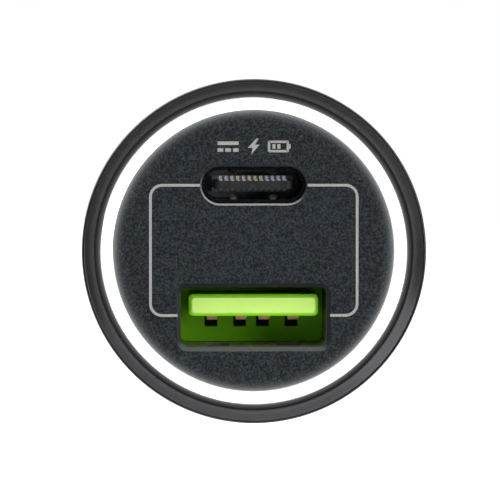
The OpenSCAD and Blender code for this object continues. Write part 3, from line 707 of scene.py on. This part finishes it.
# in millimetres: the sheet of the shell, and the half width of its flat walls between the round ends
SHELL_WALL = 0.3
FLAT_HALF = 2.6
shell_lo, shell_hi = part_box("usb_c_shell")
port_middle = (shell_lo.z + shell_hi.z) / 2 / MM
black_nickel = plated("black_nickel", None, (0.2, 0.34), 0.0015)
# the brass on the tips of the lower dimples is a painted highlight; the upper two keep the plating's
# colour
tips_painted_lit = put_group(
    black_nickel, build_painted_tips(), Plating=rgb(0.055, 0.06, 0.064), Brass=rgb(1.0, 0.8, 0.54),
    Centre_Height=port_middle, Wall_Height=(shell_hi.z - shell_lo.z) / 2 / MM - SHELL_WALL,
    Half_Width=FLAT_HALF,
)
add_colour(black_nickel, tips_painted_lit, "Base Color")
dress(black_nickel, "usb_c_shell")
flash_gold = plated("flash_gold", None, (0.34, 0.5), 0.001)
contact_glint_and_shade = put_group(
    flash_gold, build_rows(), Middle_Height=port_middle, Upper=rgb(1.0, 0.84, 0.6),
    Upper_Second=rgb(0.66, 0.76, 1.0), Lower=rgb(0.1, 0.11, 0.12),
)
# the same colour also glows: a painted glint on the contacts, strongest on the upper row
add_colour(flash_gold, contact_glint_and_shade, "Base Color", "Emission Color")
shader_of(flash_gold).inputs["Emission Strength"].default_value = 0.19
shader_of(flash_gold).inputs["Metallic"].default_value = 0.0
dress(flash_gold, "usb_c_contacts")


# Boards and their parts.
# Green glass-epoxy boards, wound power inductors, moulded chips, sleeved and bare capacitor cans
# and a ceramic fuse, all soldered in place inside the head and the barrel.
board_green = grained("board_mask", ((0.008, 0.07, 0.028), (0.016, 0.11, 0.045)), (0.3, 0.42), 0.5, 0.004)
dress(board_green, "port_board", "main_board")
coil_grey = grained("ferrite", ((0.06, 0.06, 0.062), (0.11, 0.11, 0.115)), (0.6, 0.75), 0.12, 0.006)
dress(coil_grey, "inductors")
chip_black = grained(
    "chip_resin", ((0.014, 0.014, 0.015), (0.025, 0.025, 0.026)), (0.5, 0.62), 0.08, 0.003,
)
dress(chip_black, "power_chips")
can_sleeve = grained("can_sleeve", ((0.01, 0.014, 0.03), (0.02, 0.026, 0.05)), (0.22, 0.32), 0.6, 0.003)
dress(can_sleeve, "input_capacitor")
can_metal = plated("can_metal", ((0.76, 0.76, 0.77), (0.66, 0.66, 0.67)), (0.25, 0.4), 0.001)
dress(can_metal, "output_capacitors")
fuse_body = grained("fuse_ceramic", ((0.68, 0.66, 0.6), (0.8, 0.78, 0.72)), (0.45, 0.6), 0.15, 0.004)
dress(fuse_body, "fuse")


# Tip contact, its spring and the spring plate.
# The turned brass tip is nickel plated. A coil spring of steel wire pushes it out of the nose ring
# and rests on a brass plate soldered to the end of the main board.
tip_nickel = plated("tip_plating", ((0.3, 0.29, 0.272), (0.25, 0.242, 0.228)), (0.2, 0.28), 0.0004)
dress(tip_nickel, "tip_contact")
brass = plated("spring_plate_brass", ((0.7, 0.5, 0.2), (0.6, 0.42, 0.17)), (0.25, 0.4), 0.001)
dress(brass, "spring_plate")
spring_steel = plated("spring_wire", ((0.58, 0.57, 0.55), (0.48, 0.47, 0.46)), (0.2, 0.3), 0.001)

spring_lo, spring_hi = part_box("tip_spring")
WIRE_R = 0.3 * MM
COIL_R = (spring_hi.x - spring_lo.x) / 2 - WIRE_R
TURNS = 6.5
END_TURN = 1.0
# how many rings a turn is drawn with, and how many points a ring
STEPS = 24
AROUND = 10
# the last turn at each end lies close, one wire above the next, and the others share the rest
run = spring_hi.y - spring_lo.y - 2 * WIRE_R
close = 2 * WIRE_R
spring_mesh = bmesh.new()
rings = []
for step in range(int(TURNS * STEPS) + 1):
    turned = step / STEPS
    if turned < END_TURN:
        height = close * turned
    elif turned > TURNS - END_TURN:
        height = run - close * (TURNS - turned)
    else:
        height = close + (run - 2 * close) * (turned - END_TURN) / (TURNS - 2 * END_TURN)
    angle = 2 * math.pi * turned
    centre = Vector((COIL_R * math.cos(angle), spring_lo.y + WIRE_R + height, COIL_R * math.sin(angle)))
    outward = Vector((math.cos(angle), 0, math.sin(angle)))
    ring = []
    for k in range(AROUND):
        turn = 2 * math.pi * k / AROUND
        offset = outward * math.cos(turn) + Vector((0, 1, 0)) * math.sin(turn)
        ring.append(spring_mesh.verts.new(centre + offset * WIRE_R))
    rings.append(ring)
for first, second in zip(rings, rings[1:]):
    for k in range(AROUND):
        j = (k + 1) % AROUND
        spring_mesh.faces.new((first[k], first[j], second[j], second[k]))
spring_mesh.faces.new(rings[0])
spring_mesh.faces.new(rings[-1])
for face in spring_mesh.faces:
    face.smooth = len(face.verts) == 4
spring = add_piece("tip_coil", spring_mesh, spring_steel, "plug")
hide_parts("tip_spring")
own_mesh(spring)


# Side contacts.
# Two bent strips of nickel-plated spring steel. Each is curled round a post inside the barrel and
# bows out through a slot to touch the socket's wall.
side_steel = plated(
    "side_contact_steel", ((0.35, 0.345, 0.33), (0.29, 0.286, 0.274)), (0.26, 0.38), 0.0008,
)
dress(side_steel, "side_contact_left", "side_contact_right")


# Studio.
# A pale floor and a white surround, with a wide soft light above, one at the upper left and one at
# the front right. A dark card behind the camera and a dark mat below it darken the face and rim.
def light_path_mix(tree, seen, unseen, output):
    # one shader where the camera sees it, directly or in metal or glass, and another for its light
    path = tree.nodes.new("ShaderNodeLightPath")
    either = math_node(tree, "MAXIMUM", path.outputs["Is Camera Ray"], path.outputs["Is Glossy Ray"])
    every = math_node(tree, "MAXIMUM", either, path.outputs["Is Transmission Ray"])
    mix = tree.nodes.new("ShaderNodeMixShader")
    tree.links.new(every, mix.inputs["Fac"])
    tree.links.new(unseen, mix.inputs[1])
    tree.links.new(seen, mix.inputs[2])
    tree.links.new(mix.outputs[0], output)


world = bpy.data.worlds.new("surround")
scene.world = world
world.use_nodes = True
tree = world.node_tree
seen = tree.nodes["Background"]
seen.inputs["Color"].default_value = rgb(1.0, 1.0, 1.0)
seen.inputs["Strength"].default_value = 1.0
ambient = tree.nodes.new("ShaderNodeBackground")
ambient.inputs["Color"].default_value = rgb(1.0, 1.0, 1.0)
ambient.inputs["Strength"].default_value = 0.5
light_path_mix(tree, seen.outputs[0], ambient.outputs[0], tree.nodes["World Output"].inputs["Surface"])


CARD_ROUGH = 0.9


def flat_card(name, corners, grey, glow=0.0):
    colour = rgb(grey, grey, grey)
    data = bpy.data.meshes.new(name)
    data.from_pydata(corners, [], [tuple(range(len(corners)))])
    card = bpy.data.objects.new(name, data)
    scene.collection.objects.link(card)
    material = finish(name, CARD_ROUGH, specular=0.0)
    shader = shader_of(material)
    shader.inputs["Base Color"].default_value = colour
    if glow:
        # brighter where it is seen than where it lights the plug
        tree = material.node_tree
        lifted = tree.nodes.new("ShaderNodeBsdfPrincipled")
        lifted.inputs["Base Color"].default_value = colour
        lifted.inputs["Roughness"].default_value = CARD_ROUGH
        lifted.inputs["Specular IOR Level"].default_value = 0.0
        lifted.inputs["Emission Color"].default_value = rgb(1.0, 1.0, 1.0)
        lifted.inputs["Emission Strength"].default_value = glow
        output = tree.nodes["Material Output"].inputs["Surface"]
        light_path_mix(tree, lifted.outputs[0], shader.outputs[0], output)
    data.materials.append(material)
    return card


FLOOR_Z = -0.09
FLOOR_HALF = 3
flat_card(
    "floor",
    [
        (-FLOOR_HALF, -FLOOR_HALF, FLOOR_Z), (FLOOR_HALF, -FLOOR_HALF, FLOOR_Z),
        (FLOOR_HALF, FLOOR_HALF, FLOOR_Z), (-FLOOR_HALF, FLOOR_HALF, FLOOR_Z),
    ],
    0.8, glow=0.8,
)
# the card behind the camera, and the mat just over the floor, which ends short of the plug
CARD_HALF = 0.9
CARD_Y = -1.3
CARD_TOP = 0.7
MAT_Z = FLOOR_Z + 0.001
MAT_END = -0.14
dark_card = flat_card(
    "dark_card",
    [
        (-CARD_HALF, CARD_Y, FLOOR_Z), (CARD_HALF, CARD_Y, FLOOR_Z),
        (CARD_HALF, CARD_Y, CARD_TOP), (-CARD_HALF, CARD_Y, CARD_TOP),
    ],
    0.06,
)
dark_card.visible_camera = False
dark_mat = flat_card(
    "dark_mat",
    [
        (-CARD_HALF, CARD_Y, MAT_Z), (CARD_HALF, CARD_Y, MAT_Z),
        (CARD_HALF, MAT_END, MAT_Z), (-CARD_HALF, MAT_END, MAT_Z),
    ],
    0.05,
)
dark_mat.visible_camera = False
dark_mat.visible_diffuse = False
dark_mat.visible_shadow = False


def soft_light(name, place, target, width, height, radiance):
    # an area light with the power that it needs at its size to shine with this radiance
    light = bpy.data.lights.new(name, "AREA")
    light.shape = "RECTANGLE"
    light.size = width
    light.size_y = height
    light.energy = radiance * math.pi * width * height
    lamp = bpy.data.objects.new(name, light)
    scene.collection.objects.link(lamp)
    lamp.location = place
    lamp.rotation_euler = (Vector(place) - Vector(target)).to_track_quat("Z", "Y").to_euler()


soft_light("top_light", (-0.35, -0.13, 0.42), (-0.35, -0.13, 0), 2.8, 0.32, 3.3)
soft_light("left_light", (-0.5, -0.1, 0.34), (0, -0.02, 0), 0.5, 0.4, 3.2)
soft_light("right_light", (0.74, -0.74, 0.1), (0, -0.02, 0), 0.6, 0.5, 4.4)

scene.view_settings.view_transform = "Standard"
